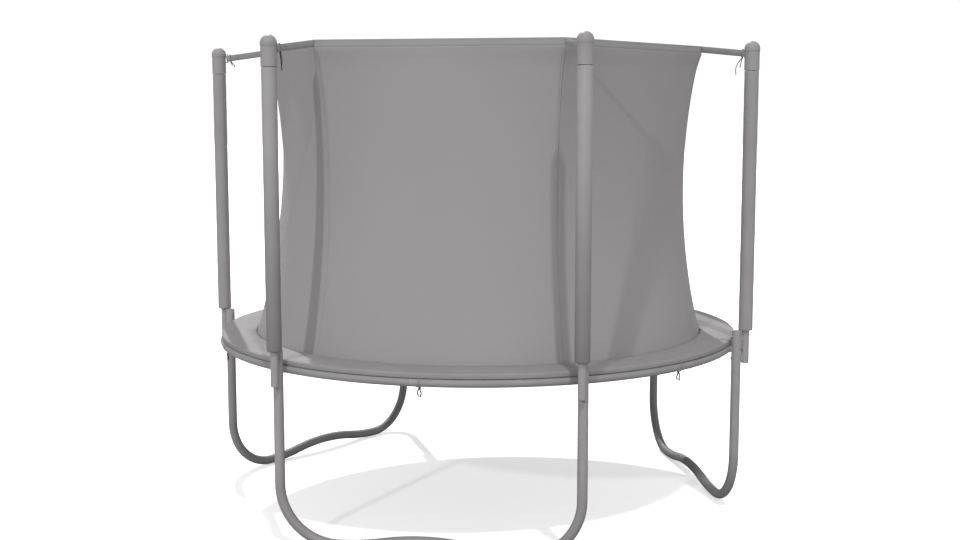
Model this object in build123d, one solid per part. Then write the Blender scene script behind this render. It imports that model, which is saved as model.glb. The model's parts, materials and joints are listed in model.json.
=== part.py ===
from build123d import *
import os
from math import asin, atan2, cos, degrees, hypot, radians, sin, sqrt, tan

# A round garden trampoline with a safety-net enclosure on three W-shaped leg frames.
#
# Millimetres. Heights in this file are above the ground. save() lowers every piece, so that
# in the written files the origin is the centre of the jumping mat's top face.
# A bearing is degrees from -Y, positive towards +X: bearing 0 is the front, 90 the right.
# Each leg has a local frame: +X points away from the trampoline, +Z is up.

# --- driving dimensions ---------------------------------------------------------------

RING_RADIUS = 1196.0            # top ring, to the tube's centre line
RING_HEIGHT = 746.0
RING_TUBE = 17.0                # outer radius of the ring's tube
RING_SECTIONS = 6
RING_JOINT_BEARING = 47.0       # where the first section starts

LEG_RADIUS = 1236.0             # uprights, measured from the trampoline's axis
LEG_TUBE = 21.0
LEG_TOP = 828.0
LEG_SPREAD = 30.6               # half the bearing between a leg frame's two uprights
LEG_JOINT_HEIGHT = 330.0
LEG_BEND = 243.0                # radius of the two bends at the foot
LEG_HUMP = 36.0                 # how far the middle of the foot is off the ground
FRAME_BEARINGS = {"front": -11.1, "right": 99.1, "left": -129.2}

POLE_OFFSET = 41.0              # pole axis from upright axis
POLE_TUBE = 17.0
POLE_BOTTOM = 687.0
POLE_JOINT_HEIGHT = 1400.0
POLE_TOP = 2084.0
BOLT_HEIGHTS = (707.0, 800.0)   # the two bolts that clamp a pole to its upright

SLEEVE_RADIUS = 31.0
SLEEVE_BOTTOM = 832.4
CAP_BOTTOM = 1977.0
CAP_TOP = 2103.0
CAP_BODY = 32.5
CAP_DOME = 34.3

MAT_RADIUS = 985.0
MAT_HALF = 1.0                  # half the mat's thickness; its middle is level with the ring
HEM_RADIUS = 1018.0
SPRING_COUNT = 48
FIRST_SPRING = 0.5              # bearing of the first spring

PAD_INNER = 1050.0
PAD_OUTER = 1207.0
PAD_UNDERSIDE = 764.2           # the pad rests on the ring, inside the uprights
PAD_CROWN = 791.0
PAD_SKIN = 2.0

NET_TOP = 2092.0
NET_BAND = 30.0
NET_CORNER_RADIUS = 1029.0
NET_CORNER_BEARING = -40.6      # first of six evenly spaced corners
NET_WAIST_RADIUS = 957.0
NET_FOOT_RADIUS = 1044.0
NET_FOOT_HEIGHT = 776.0
NET_THICKNESS = 2.0
NET_TUCK = 16.0                 # how far the foot draws in to meet the mat
NET_TUCK_HEIGHT = 771.0         # where it starts to draw in
ENTRANCE_PANEL = 3              # counted from the panel after the first corner

WALL = 1.5                      # wall of every steel tube
SLIP = 0.2                      # radial clearance of a tube pushed into another
SWAGE = 60.0                    # length pushed in
CLEAR = 0.15                    # gap between a moulded saddle and a tube

BOLT = 3.9                      # shank radius
BOLT_HOLE = 4.3
NUT_THICKNESS = 6.5
NUT_RADIUS = 7.4

# --- values that follow ---------------------------------------------------------------

MAT_TOP = RING_HEIGHT + MAT_HALF
PANELS = 6
HALF_PANEL = 180.0 / PANELS
NET_WAIST_HEIGHT = (NET_TOP + NET_FOOT_HEIGHT) / 2
RING_GAP = LEG_RADIUS - RING_RADIUS

# Each upright: its name, its own bearing and the bearing its leg frame faces.
UPRIGHTS = [
    (name, FRAME_BEARINGS[frame] + side * LEG_SPREAD, FRAME_BEARINGS[frame])
    for name, frame, side in (
        ("front_left", "front", -1),
        ("front_right", "front", 1),
        ("right_front", "right", -1),
        ("right_rear", "right", 1),
        ("left_rear", "left", -1),
        ("left_front", "left", 1),
    )
]


# --- places ---------------------------------------------------------------------------


def point(radius, bearing, height):
    return Vector(radius * sin(radians(bearing)), -radius * cos(radians(bearing)), height)


def place(radius, bearing, height, facing=None):
    """A location at that radius and bearing whose +X points outward, or along facing."""
    turn = bearing if facing is None else facing
    return Pos(*point(radius, bearing, height)) * Rot(0, 0, turn - 90)


def upright_place(bearing, facing, height):
    return place(LEG_RADIUS, bearing, height, facing)


def pole_place(bearing, facing, height):
    return upright_place(bearing, facing, height) * Pos(POLE_OFFSET, 0, 0)


# --- basic shapes ---------------------------------------------------------------------


def rod(radius, low, high):
    """A solid round bar along Z from low to high."""
    return Pos(0, 0, low) * Cylinder(radius, high - low, align=(Align.CENTER, Align.CENTER, Align.MIN))


def tube(radius, low, high, wall=WALL):
    return rod(radius, low, high) - rod(radius - wall, low - 1, high + 1)


def cross_rod(radius, start, end):
    """A solid round bar along local X from start to end."""
    return Rot(0, 90, 0) * rod(radius, start, end)


def bent_run(section, start, moves):
    """A bar or tube of one section that starts at a location along its +Z and follows moves.

    A move (0, length) goes straight on. A move (radius, angle) bends towards local +X, or
    towards -X when the radius is negative.
    """
    shape, spot = None, start
    for bend, amount in moves:
        if bend:
            turn = 1 if bend > 0 else -1
            piece = revolve(section, Axis((bend, 0, 0), (0, turn, 0)), amount)
            step = Pos(bend, 0, 0) * Rot(0, turn * amount, 0) * Pos(-bend, 0, 0)
        else:
            piece = extrude(section, amount)
            step = Pos(0, 0, amount)
        shape = spot * piece if shape is None else shape + spot * piece
        spot = spot * step
    return shape


def straight_bar(radius, start, end):
    """A round bar between two points."""
    start, end = Vector(*start), Vector(*end)
    return extrude(Plane(origin=start, z_dir=end - start) * Circle(radius), (end - start).length)


def swaged_tube(radius, low, high):
    """A tube whose lower end is narrowed to push into a tube of the same size below it."""
    spigot = radius - WALL - SLIP
    shoulder = tube(radius, low, low + 3, wall=radius - spigot + WALL)
    return tube(radius, low, high) + shoulder + tube(spigot, low - SWAGE, low + 3)


def end_plug(radius, insert, rise):
    """A push-in plug whose flange sits on the tube's end at height 0."""
    flange = fillet((rod(radius, 0.1, rise)).edges().sort_by(Axis.Z)[-1], rise * 0.7)
    return flange + rod(radius - WALL - SLIP, -insert, 0.2)


def bolt(length):
    """A domed bolt along local X: the head's underside is at 0 and the shank runs to -length."""
    head = fillet(cross_rod(6.4, 0, 3.2).edges().sort_by(Axis.X)[-1], 2.4)
    return head + cross_rod(BOLT, -length, 0.1)


def nut():
    """A hexagon nut along local X, with its bearing face at 0 and its body towards -X."""
    body = extrude(Plane.YZ * RegularPolygon(NUT_RADIUS, 6), -NUT_THICKNESS)
    return body - cross_rod(BOLT + 0.1, -NUT_THICKNESS - 1, 1)


def save(name, *pieces):
    """Write one node, lowered so that the mat's top face is at height 0."""
    solids = [solid for piece in pieces for solid in (Pos(0, 0, -MAT_TOP) * piece).solids()]
    export_step(Compound(children=solids) if len(solids) > 1 else solids[0], f"parts/{name}.step")


# --- top ring -------------------------------------------------------------------------


def ring_arc(outer, inner, start, sweep_angle):
    """A curved tube on the ring's centre line, from bearing start."""
    section = Plane.XZ * (Pos(RING_RADIUS, 0) * (Circle(outer) - Circle(inner)))
    return Pos(0, 0, RING_HEIGHT) * Rot(0, 0, start - 90) * revolve(section, Axis.Z, sweep_angle)


def spring_bearings():
    return [FIRST_SPRING + 360.0 * index / SPRING_COUNT for index in range(SPRING_COUNT)]


def within(bearing, start, end):
    return (bearing - start) % 360 < end - start


def ring_section(index):
    """One curved section: its far end is narrowed and pushes into the next section."""
    pitch = 360.0 / RING_SECTIONS
    start = RING_JOINT_BEARING + index * pitch
    end = start + pitch
    gap, shoulder, spigot = 0.02, 0.3, 2.8
    inner = RING_TUBE - WALL
    narrow = inner - SLIP
    body = ring_arc(RING_TUBE, inner, start + gap, pitch - gap)
    body += ring_arc(RING_TUBE, narrow - WALL, end - shoulder, shoulder)
    body += ring_arc(narrow, narrow - WALL, end - shoulder, shoulder + spigot)
    for bearing in spring_bearings():
        if within(bearing, start, end):
            hole = place(RING_RADIUS - RING_TUBE, bearing, RING_HEIGHT) * cross_rod(4.5, -6, 6)
            body -= hole
    for _, bearing, _ in UPRIGHTS:
        if within(bearing, start, end):
            body -= place(RING_RADIUS, bearing, RING_HEIGHT) * cross_rod(BOLT_HOLE, -22, 22)
    for joint in (start, end):
        body -= screw_place(joint) * rod(2.3, -2, 9)
    return body


def screw_place(joint):
    """Where the locking screw of a ring joint enters, on the underside of the tube."""
    return place(RING_RADIUS, joint + 1.4, RING_HEIGHT - RING_TUBE)


def make_ring():
    for index in range(RING_SECTIONS):
        save(f"ring_section_{index + 1}", ring_section(index))
    screws = []
    for index in range(RING_SECTIONS):
        joint = RING_JOINT_BEARING + index * 360.0 / RING_SECTIONS
        screw = rod(4.0, -2.6, -0.1) + rod(2.1, -0.2, 8)
        screws.append(screw_place(joint) * screw)
    save("ring_joint_screws", *screws)


# --- leg frames -----------------------------------------------------------------------


def leg_base(facing):
    """The bent foot: down, round to the ground, over a low hump and up again."""
    half = LEG_RADIUS * sin(radians(LEG_SPREAD))
    quarter = (half - LEG_BEND) / 2
    hump_bend = (quarter**2 + (LEG_HUMP / 2) ** 2) / LEG_HUMP
    hump_turn = degrees(asin(quarter / hump_bend))
    drop = LEG_JOINT_HEIGHT - 0.2 - LEG_TUBE - LEG_BEND
    rise = [(hump_bend, hump_turn), (-hump_bend, hump_turn)]
    moves = [(0, drop), (LEG_BEND, 90)] + rise + rise[::-1] + [(LEG_BEND, 90), (0, drop)]
    top = Plane(origin=(0, -half, LEG_JOINT_HEIGHT - 0.2), x_dir=(0, 1, 0), z_dir=(0, 0, -1))
    shape = bent_run(Circle(LEG_TUBE) - Circle(LEG_TUBE - WALL), Location(top), moves)
    return place(LEG_RADIUS * cos(radians(LEG_SPREAD)), facing, 0) * shape


def leg_upright(bearing, facing):
    """An upright with two holes along the frame's facing for the pole, and one towards the ring."""
    shape = upright_place(bearing, facing, 0) * swaged_tube(LEG_TUBE, LEG_JOINT_HEIGHT, LEG_TOP)
    for height in BOLT_HEIGHTS:
        shape -= upright_place(bearing, facing, height) * cross_rod(BOLT_HOLE, -30, 30)
    shape -= place(LEG_RADIUS, bearing, RING_HEIGHT) * cross_rod(BOLT_HOLE, -30, 30)
    return shape


def ring_saddle(bearing):
    """A moulded block with one face hollowed for the upright and the other for the ring."""
    block = place(LEG_RADIUS, bearing, RING_HEIGHT) * Pos(-22.5, 0, 0) * Box(19, 26, 26)
    block -= place(LEG_RADIUS, bearing, RING_HEIGHT) * rod(LEG_TUBE + CLEAR, -40, 40)
    block -= ring_arc(RING_TUBE + CLEAR, 0.5, bearing - 3, 6) + ring_arc(1, 0.1, bearing - 3, 6)
    return block - place(LEG_RADIUS, bearing, RING_HEIGHT) * cross_rod(BOLT_HOLE, -40, 0)


def make_legs():
    for frame, facing in FRAME_BEARINGS.items():
        save(f"leg_base_{frame}", leg_base(facing))
    for name, bearing, facing in UPRIGHTS:
        save(f"leg_upright_{name}", leg_upright(bearing, facing))
    plug = end_plug(LEG_TUBE, 18, 4)
    save("leg_plugs", *[upright_place(b, f, LEG_TOP) * plug for _, b, f in UPRIGHTS])
    save("ring_saddles", *[ring_saddle(b) for _, b, _ in UPRIGHTS])
    bolt_start = LEG_TUBE + 0.3
    nut_face = -RING_GAP - RING_TUBE - 0.3
    ring_bolt = Pos(bolt_start, 0, 0) * bolt(bolt_start - nut_face + NUT_THICKNESS + 2)
    save("ring_bolts", *[place(LEG_RADIUS, b, RING_HEIGHT) * ring_bolt for _, b, _ in UPRIGHTS])
    ring_nut = Pos(nut_face, 0, 0) * nut()
    save("ring_nuts", *[place(LEG_RADIUS, b, RING_HEIGHT) * ring_nut for _, b, _ in UPRIGHTS])


# --- enclosure poles ------------------------------------------------------------------


def pole_lower(bearing, facing):
    shape = pole_place(bearing, facing, 0) * tube(POLE_TUBE, POLE_BOTTOM, POLE_JOINT_HEIGHT - 0.2)
    for height in BOLT_HEIGHTS:
        shape -= pole_place(bearing, facing, height) * cross_rod(BOLT_HOLE, -25, 0)
    return shape


def pole_spacer():
    """A moulded block hollowed for the upright on one face and the pole on the other."""
    block = Pos(22.5, 0, 0) * Box(29, 18, 24)
    block -= rod(LEG_TUBE + CLEAR, -20, 20)
    block -= Pos(POLE_OFFSET, 0, 0) * rod(POLE_TUBE + CLEAR, -20, 20)
    return block - cross_rod(BOLT_HOLE, 0, 60)


def pole_cap():
    """A cap with a rounded dome that pushes over the pole."""
    brow = CAP_TOP - CAP_DOME
    bend = CAP_DOME * sqrt(0.5)
    with BuildSketch(Plane.XZ) as profile:
        with BuildLine():
            Polyline(
                (0, POLE_TOP + 2), (POLE_TUBE + 0.2, POLE_TOP + 2), (POLE_TUBE + 0.2, CAP_BOTTOM),
                (CAP_BODY, CAP_BOTTOM), (CAP_BODY, brow - 14), (CAP_DOME, brow - 7), (CAP_DOME, brow),
            )
            ThreePointArc((CAP_DOME, brow), (bend, brow + bend), (0, CAP_TOP))
            Line((0, CAP_TOP), (0, POLE_TOP + 2))
        make_face()
    return revolve(profile.sketch, Axis.Z, 360)


STRAP_BAR = CAP_BODY + 11.0     # the strap bar's axis, from the cap's axis
STRAP_CAP_HEIGHT = 2050.0
STRAP_WIDTH = 30.0


def strap_bracket():
    """A window on the side of the cap, closed by a vertical bar that the strap loops round."""
    height = STRAP_WIDTH + 12
    outer = Pos(CAP_BODY + 5.5, 0, 0) * Box(15, 4, height)
    window = Pos(CAP_BODY + 4.5, 0, 0) * Box(9, 6, height - 8)
    return outer - window


def corner_bearing(index):
    return NET_CORNER_BEARING + index * 360.0 / PANELS


def strap_ends(index):
    """The cap's axis and the net's corner for one strap, both at strap height."""
    _, bearing, facing = UPRIGHTS[index]
    cap = pole_place(bearing, facing, STRAP_CAP_HEIGHT).position
    corner = point(NET_CORNER_RADIUS, corner_bearing(index), NET_TOP - NET_BAND / 2)
    return cap, corner


def towards_corner(index):
    """A level location at the cap's axis whose +X points at the net's corner."""
    cap, corner = strap_ends(index)
    along = corner - cap
    return Location(Plane(origin=cap, x_dir=(along.X, along.Y, 0), z_dir=(0, 0, 1)))


def make_poles():
    for name, bearing, facing in UPRIGHTS:
        save(f"pole_lower_{name}", pole_lower(bearing, facing))
        upper = swaged_tube(POLE_TUBE, POLE_JOINT_HEIGHT, POLE_TOP)
        save(f"pole_upper_{name}", pole_place(bearing, facing, 0) * upper)
        sleeve = tube(SLEEVE_RADIUS, SLEEVE_BOTTOM, CAP_BOTTOM - 1, wall=SLEEVE_RADIUS - POLE_TUBE - 0.5)
        save(f"foam_sleeve_{name}", pole_place(bearing, facing, 0) * sleeve)
    plug = Rot(180, 0, 0) * end_plug(POLE_TUBE, 10, 3)
    save("pole_plugs", *[pole_place(b, f, POLE_BOTTOM) * plug for _, b, f in UPRIGHTS])
    spacer = pole_spacer()
    inner_face = LEG_TUBE + 0.3
    nut_face = POLE_OFFSET - POLE_TUBE + WALL + 2.2
    pole_bolt = Rot(0, 0, 180) * Pos(inner_face, 0, 0) * bolt(inner_face + nut_face + NUT_THICKNESS + 2)
    pole_nut = Pos(nut_face, 0, 0) * Rot(0, 0, 180) * nut()
    spots = [upright_place(b, f, height) for _, b, f in UPRIGHTS for height in BOLT_HEIGHTS]
    save("pole_spacers", *[spot * spacer for spot in spots])
    save("pole_bolts", *[spot * pole_bolt for spot in spots])
    save("pole_nuts", *[spot * pole_nut for spot in spots])
    caps = []
    for index, (_, bearing, facing) in enumerate(UPRIGHTS):
        caps.append(pole_place(bearing, facing, 0) * pole_cap() + towards_corner(index) * strap_bracket())
    save("pole_caps", *caps)


# --- jumping mat and springs ----------------------------------------------------------


RING_BAR = 1024.0               # straight bar of a triangular ring, held in its hem loop
RING_WIRE = 2.0
HOOK_CENTRE = 1050.0            # where a spring's inner hook wraps the triangular ring
SPRING_WIRE = 1.6
COIL_RADIUS = 9.0
COIL_START, COIL_END = 1066.0, 1158.0


def annulus(inner, outer, low, high):
    return rod(outer, low, high) - rod(inner, low - 1, high + 1)


def triangle_ring():
    """A triangular ring of wire: its base lies in the hem loop, its tip takes the spring."""
    half_base, height, corner = 24.0, 28.9, 5.0
    base_angle = atan2(height, half_base)
    base_trim = corner / tan(base_angle / 2)
    side = hypot(height, half_base) - base_trim - corner * tan(base_angle)
    base = half_base - base_trim
    base_turn = 180 - degrees(base_angle)
    moves = [
        (0, base), (corner, base_turn), (0, side), (corner, 2 * degrees(base_angle)),
        (0, side), (corner, base_turn), (0, base),
    ]
    start = Location(Plane(origin=(RING_BAR, 0, 0), x_dir=(1, 0, 0), z_dir=(0, 1, 0)))
    return bent_run(Circle(RING_WIRE), start, moves)


def hem_loop():
    """A folded webbing tab round the triangular ring's base, both tails over the hem."""
    bar, skin, length, width = RING_WIRE + 0.2, 1.3, 24.0, 24.0
    outer = cross_bar(bar + skin, width) + Pos(-length / 2, 0, 0) * Box(length, width, 2 * (bar + skin))
    inner = cross_bar(bar, width + 2) + Pos(-length / 2, 0, 0) * Box(length + 2, width + 2, 2 * bar)
    return Pos(RING_BAR, 0, 0) * (outer - inner)


def cross_bar(radius, length):
    """A solid round bar along local Y, centred."""
    return Rot(90, 0, 0) * Cylinder(radius, length)


def spring():
    """A closed coil with a hook over the triangular ring and a hook into the ring's hole."""
    length = COIL_END - COIL_START
    coil = Pos((COIL_START + COIL_END) / 2, 0, 0) * (
        Rot(0, 90, 0) * (Cylinder(COIL_RADIUS, length) - Cylinder(COIL_RADIUS - 2 * SPRING_WIRE, length - 6))
        - Pos(0, 0, -COIL_RADIUS) * Box(length - 20, 4, 10)
    )
    lift = RING_WIRE + SPRING_WIRE + 0.6
    over = Location(Plane(origin=(COIL_START + 2, 0, lift), x_dir=(0, 0, -1), z_dir=(-1, 0, 0)))
    hook = bent_run(Circle(SPRING_WIRE), over, [(0, COIL_START + 2 - HOOK_CENTRE), (lift, 180)])
    tip = RING_RADIUS - RING_TUBE + 8
    out = Location(Plane(origin=(COIL_END - 2, 0, 0), x_dir=(0, 0, -1), z_dir=(1, 0, 0)))
    tail = bent_run(Circle(SPRING_WIRE), out, [(0, tip - COIL_END - 1), (3, 90), (0, 5)])
    return coil + hook + tail


def around(shape, bearings):
    return [place(0, bearing, RING_HEIGHT) * shape for bearing in bearings]


def make_mat():
    save("jumping_mat", rod(MAT_RADIUS, RING_HEIGHT - MAT_HALF, MAT_TOP))
    save("mat_hem", annulus(MAT_RADIUS + 1, HEM_RADIUS, RING_HEIGHT - 1.5, RING_HEIGHT + 1.5))
    save("hem_loops", *around(hem_loop(), spring_bearings()))
    save("triangle_rings", *around(triangle_ring(), spring_bearings()))
    save("springs", *around(spring(), spring_bearings()))
    save("net_lacing", Pos(0, 0, MAT_TOP + 3.8) * Torus(RING_BAR + 10, 1.2))


# --- spring pad -----------------------------------------------------------------------


def pad_outline(inset, floor_height):
    """The pad's section in the XZ plane, drawn in by inset on all upper sides, as a face."""
    inner, outer = PAD_INNER + inset, PAD_OUTER - inset
    crown = PAD_CROWN - inset
    shoulder = crown - 4
    bend = 8 - inset
    corner = bend * (1 - sqrt(0.5))
    with BuildSketch(Plane.XZ) as section:
        with BuildLine():
            Line((inner, floor_height), (inner, shoulder - bend))
            ThreePointArc(
                (inner, shoulder - bend), (inner + corner, shoulder - corner), (inner + bend, shoulder)
            )
            ThreePointArc(
                (inner + bend, shoulder), ((inner + outer) / 2, crown), (outer - bend, shoulder)
            )
            ThreePointArc(
                (outer - bend, shoulder), (outer - corner, shoulder - corner), (outer, shoulder - bend)
            )
            Polyline((outer, shoulder - bend), (outer, floor_height), (inner, floor_height))
        make_face()
    return section.sketch


def pad_ring(inset, floor_height):
    return revolve(pad_outline(inset, floor_height), Axis.Z, 360)


def make_pad():
    play = 0.2
    inset = PAD_SKIN + play
    backing = 0.8
    save("pad_cover", pad_ring(0, PAD_UNDERSIDE) - pad_ring(PAD_SKIN, PAD_UNDERSIDE - 1))
    save("pad_backing", annulus(PAD_INNER + inset, PAD_OUTER - inset, PAD_UNDERSIDE, PAD_UNDERSIDE + backing))
    save("pad_foam", pad_ring(inset, PAD_UNDERSIDE + backing + play))
    save("pad_ties", *[place(RING_RADIUS, bearing, RING_HEIGHT) * pad_tie() for bearing in tie_bearings()])


def tie_bearings():
    """Midway between neighbouring uprights."""
    bearings = [bearing for _, bearing, _ in UPRIGHTS]
    following = bearings[1:] + [bearings[0] + 360]
    return [(a + (a + (b - a) % 360)) / 2 for a, b in zip(bearings, following)]


def pad_tie():
    """A cord slung under the ring from the pad's edge, knotted below it, with two loose tails."""
    cord, lean = 1.5, 18.5
    swing = RING_TUBE + cord + 0.8
    down, across = cos(radians(lean)), sin(radians(lean))
    outer_leg, inner_leg = 18.8, 11.0
    begin = (swing * down - outer_leg * across, 0, swing * across + outer_leg * down)
    start = Location(Plane(origin=begin, x_dir=(-down, 0, -across), z_dir=(across, 0, -down)))
    tie = bent_run(Circle(cord), start, [(0, outer_leg), (swing, 180 + 2 * lean), (0, inner_leg)])
    tie += Pos(0, 0, -swing - 2) * Sphere(3.6)
    for side in (-1, 1):
        tie += straight_bar(cord, (0, side, -swing - 3), (5 * side, 3 * side, -swing - 38))
    return tie


# --- net enclosure --------------------------------------------------------------------


def arc_radius(height, low, middle, high):
    """Radius at a height on the circular arc through three (radius, height) points."""
    centre_radius, centre_height, size = arc_circle(low, middle, high)
    return centre_radius - sqrt(size**2 - (height - centre_height) ** 2)


def arc_circle(low, middle, high):
    """Centre and size of the circle through three (radius, height) points."""
    (ax, ay), (bx, by), (cx, cy) = low, middle, high
    double = 2 * (ax * (by - cy) + bx * (cy - ay) + cx * (ay - by))
    a2, b2, c2 = ax**2 + ay**2, bx**2 + by**2, cx**2 + cy**2
    x = (a2 * (by - cy) + b2 * (cy - ay) + c2 * (ay - by)) / double
    y = (a2 * (cx - bx) + b2 * (ax - cx) + c2 * (bx - ax)) / double
    return x, y, hypot(ax - x, ay - y)


def net_line(offset):
    """The three (radius, height) points of the net at a bearing offset from a panel's middle."""
    flat = cos(radians(HALF_PANEL)) / cos(radians(offset))
    foot = (NET_FOOT_RADIUS, NET_FOOT_HEIGHT)
    waist = (NET_WAIST_RADIUS * (0.6 + 0.4 * flat), NET_WAIST_HEIGHT)
    top = (NET_CORNER_RADIUS * flat, NET_TOP)
    return foot, waist, top


def net_point(middle, offset, height):
    radius = arc_radius(height, *net_line(offset))
    if height < NET_TUCK_HEIGHT:
        radius -= NET_TUCK * ((NET_TUCK_HEIGHT - height) / (NET_TUCK_HEIGHT - NET_BOTTOM)) ** 2
    return point(radius, middle + offset, height)


NET_BOTTOM = MAT_TOP + 6.0


def net_section(middle, start, end, height):
    """The net's thin level section at one height, between two bearing offsets."""
    columns = 9
    pitch = (end - start) / (columns - 1)
    inner = [net_point(middle, start + pitch * column, height) for column in range(columns)]
    outer = [spot + Vector(spot.X, spot.Y, 0).normalized() * NET_THICKNESS for spot in inner]
    edges = [
        Edge.make_spline(inner), Edge.make_line(inner[-1], outer[-1]),
        Edge.make_spline(outer[::-1]), Edge.make_line(outer[0], inner[0]),
    ]
    return Wire(edges)


def net_panel(middle, start, end):
    """One sewn panel between two bearing offsets from its middle: a tucked foot and a long sheet."""
    rows, top = 10, NET_TOP - NET_BAND - 1
    tuck = [NET_BOTTOM, 756.0, 759.5, 763.0, 767.0, NET_TUCK_HEIGHT]
    level = [NET_TUCK_HEIGHT + (top - NET_TUCK_HEIGHT) * step / rows for step in range(rows + 1)]
    foot = Solid.make_loft([net_section(middle, start, end, height) for height in tuck], ruled=True)
    sheet = Solid.make_loft([net_section(middle, start, end, height) for height in level])
    return foot + sheet


def panel_middle(index):
    return corner_bearing(index) + HALF_PANEL


def band_loop(inset, outset):
    """The hexagonal band sewn along the net's top."""
    low = NET_TOP - NET_BAND
    outer = extrude(RegularPolygon(NET_CORNER_RADIUS + outset, PANELS), NET_BAND)
    inner = extrude(RegularPolygon(NET_CORNER_RADIUS - inset, PANELS), NET_BAND)
    return Pos(0, 0, low) * Rot(0, 0, NET_CORNER_BEARING - 90) * (outer - inner)


def strap_place(index):
    """The bar end of a strap, with +X along it to the net's corner and +Z up, and its length."""
    _, corner = strap_ends(index)
    bar = (towards_corner(index) * Pos(STRAP_BAR, 0, 0)).position
    along = corner - bar
    side = Vector(-along.Y, along.X, 0).normalized()
    return Location(Plane(origin=bar, x_dir=along, z_dir=along.cross(side))), along.length


def net_strap(index):
    """A webbing strap sewn to the net's corner and looped round the cap's bar."""
    thick, eye = 1.5, 5.5
    spot, reach = strap_place(index)
    loop = Circle(eye + thick) + Pos(10, 0) * Circle(eye * 0.5 + thick)
    loop = make_hull(loop.edges())
    window = make_hull((Circle(eye) + Pos(10, 0) * Circle(eye * 0.5)).edges())
    length = reach - 7
    tail = Pos((11 + length) / 2, 0) * Rectangle(length - 11, 2 * thick)
    band = extrude(loop - window + tail, STRAP_WIDTH / 2, both=True)
    return spot * band


def cap_tie(index):
    """A cord cinched round the strap beside the cap, knotted under it, with two loose tails."""
    cord, swing, out = 1.5, 3.8, 24.0
    half = STRAP_WIDTH / 2 + 0.5
    start = Location(Plane(origin=(out, swing, 0), x_dir=(0, -1, 0), z_dir=(0, 0, -1)))
    moves = [(0, half), (swing, 180), (0, 2 * half), (swing, 180), (0, half)]
    tie = bent_run(Circle(cord), start, moves)
    knot = -half - swing - 2.5
    tie += Pos(out, 0, knot) * Sphere(4.2)
    for side, length in ((-1, 52), (1, 64)):
        tie += straight_bar(cord, (out, side, knot), (out + 5 * side, 4 * side, knot - length))
    spot, _ = strap_place(index)
    return spot * tie


ZIP_BOTTOM, ZIP_TOP = 830.0, 1950.0
ZIP_GAP = 1.0                   # between the net's outer face and the zip's tape
TAPE = 1.0                      # tape thickness
CHAIN = 1.6                     # how far the teeth stand off the tape
CHAIN_WIDTH = 6.0
SLIDER_HEIGHT = 845.0
PIN = 0.95                      # radius of the pin that carries the pull tab
PIN_OUT, PIN_UP = 8.2, -3.0     # pin axis, from the tape's back and from the slider's middle


def zip_circle():
    """Centre radius, centre height and size of the arc that the back of the tape lies on."""
    radius, height, size = arc_circle(*net_line(0))
    return radius, height, size - NET_THICKNESS - ZIP_GAP


def zip_angle(height):
    _, middle, size = zip_circle()
    return degrees(asin((height - middle) / size))


def zip_place(angle):
    """A location on the tape's back: +X points away from the net, +Z up along the zip."""
    radius, middle, size = zip_circle()
    centre = place(0, panel_middle(ENTRANCE_PANEL), middle) * Pos(radius, 0, 0)
    return centre * Rot(0, angle, 0) * Pos(-size, 0, 0)


def zip_strip(width, near, far):
    """A strip that follows the zip's arc, between two distances from the tape's back."""
    _, _, size = zip_circle()
    start, end = zip_angle(ZIP_BOTTOM), zip_angle(ZIP_TOP)
    section = Pos(-size + (near + far) / 2, 0) * Rectangle(far - near, width)
    return zip_place(start) * Pos(size, 0, 0) * revolve(section, Axis.Y, end - start)


def zip_slider():
    """A channel that rides over the teeth, with two ears and a pin for the pull tab."""
    body = Pos(3.6, 0, 0) * Box(4.8, 11, 14)
    body -= Pos(1.4, 0, 0) * Box(2.8, CHAIN_WIDTH + 0.6, 16)
    for side in (-1, 1):
        body += Pos(PIN_OUT - 0.4, side * 3.1, PIN_UP) * Box(4.2, 1.4, 5)
    return body + Pos(PIN_OUT, 0, PIN_UP) * cross_bar(PIN, 7)


def zip_pull():
    """A flat tab that hangs from the slider's pin and widens into a grip."""
    tab = Pos(0, 0, -6) * Box(1.6, 4.2, 15)
    tab += Pos(0, 0, -25) * Box(1.6, 10, 26)
    tab = fillet(tab.edges().filter_by(Axis.X), 0.6)
    eye = cross_bar(2.0, 4.2)
    return Pos(PIN_OUT, 0, PIN_UP) * (tab + eye - cross_bar(PIN + 0.05, 8))


def make_net():
    gap, slit = 0.04, 0.15
    panels = []
    for index in range(PANELS):
        middle = panel_middle(index)
        reach = HALF_PANEL - gap
        spans = [(-reach, -slit), (slit, reach)] if index == ENTRANCE_PANEL else [(-reach, reach)]
        panels += [net_panel(middle, start, end) for start, end in spans]
    save("enclosure_net", *panels)
    save("net_top_band", band_loop(0, 2.5))
    save("net_straps", *[net_strap(index) for index in range(PANELS)])
    save("cap_ties", *[cap_tie(index) for index in range(PANELS)])
    save("zip_tape", zip_strip(30, 0, TAPE) + zip_strip(CHAIN_WIDTH, TAPE / 2, TAPE + CHAIN))
    slider_spot = zip_place(zip_angle(SLIDER_HEIGHT))
    save("zip_slider", slider_spot * zip_slider())
    save("zip_pull", slider_spot * zip_pull())


os.makedirs("parts", exist_ok=True)
make_ring()
make_legs()
make_poles()
make_mat()
make_pad()
make_net()
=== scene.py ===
import json
from math import atan2, cos, degrees, pi, radians, sin

import bpy
import numpy as np
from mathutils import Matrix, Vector
from mathutils.bvhtree import BVHTree


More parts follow.
